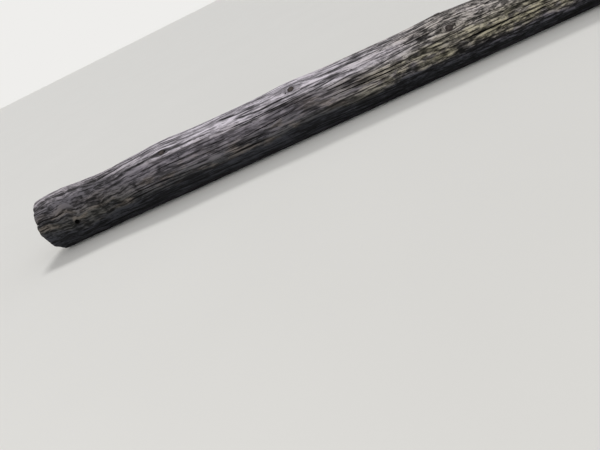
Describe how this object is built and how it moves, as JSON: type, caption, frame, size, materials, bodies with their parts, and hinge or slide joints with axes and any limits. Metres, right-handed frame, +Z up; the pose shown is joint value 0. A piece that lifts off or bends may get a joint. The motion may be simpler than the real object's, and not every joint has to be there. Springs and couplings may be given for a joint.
{
  "type": "wooden utility pole",
  "caption": "Weathered softwood utility pole lying on the ground: tapering bowed log with seasoning checks, knots, a square-sawn butt, a sloping roof cut and a bored crossarm gain",
  "frame": {"origin": "middle of the pole's footprint on the ground it lies on", "axes": "+X runs along the pole from the butt to the top; +Z is up from the ground; the gain for the crossarm faces -Y"},
  "size_m": [9.144, 0.3116, 0.2789],
  "materials": {
    "weathered_wood": "bare, sun-bleached and grey, rough grain with a little lichen",
    "knot_wood": "bare dark branch wood, weathered end grain"
  },
  "bodies": {
    "root": {"pole_shaft": "weathered_wood", "knot_1a": "knot_wood", "knot_1b": "knot_wood", "knot_2a": "knot_wood", "knot_2b": "knot_wood", "knot_3a": "knot_wood", "knot_3b": "knot_wood", "knot_3c": "knot_wood", "knot_4a": "knot_wood", "knot_4b": "knot_wood", "knot_5a": "knot_wood", "knot_5b": "knot_wood", "knot_6a": "knot_wood", "knot_6b": "knot_wood", "knot_6c": "knot_wood", "knot_7a": "knot_wood", "knot_7b": "knot_wood", "knot_8a": "knot_wood", "knot_8b": "knot_wood", "knot_8c": "knot_wood", "knot_9a": "knot_wood", "knot_9b": "knot_wood", "knot_10a": "knot_wood", "knot_10b": "knot_wood", "knot_10c": "knot_wood", "knot_11a": "knot_wood", "knot_11b": "knot_wood", "knot_11c": "knot_wood", "knot_12a": "knot_wood", "knot_12b": "knot_wood"}
  },
  "joints": []
}
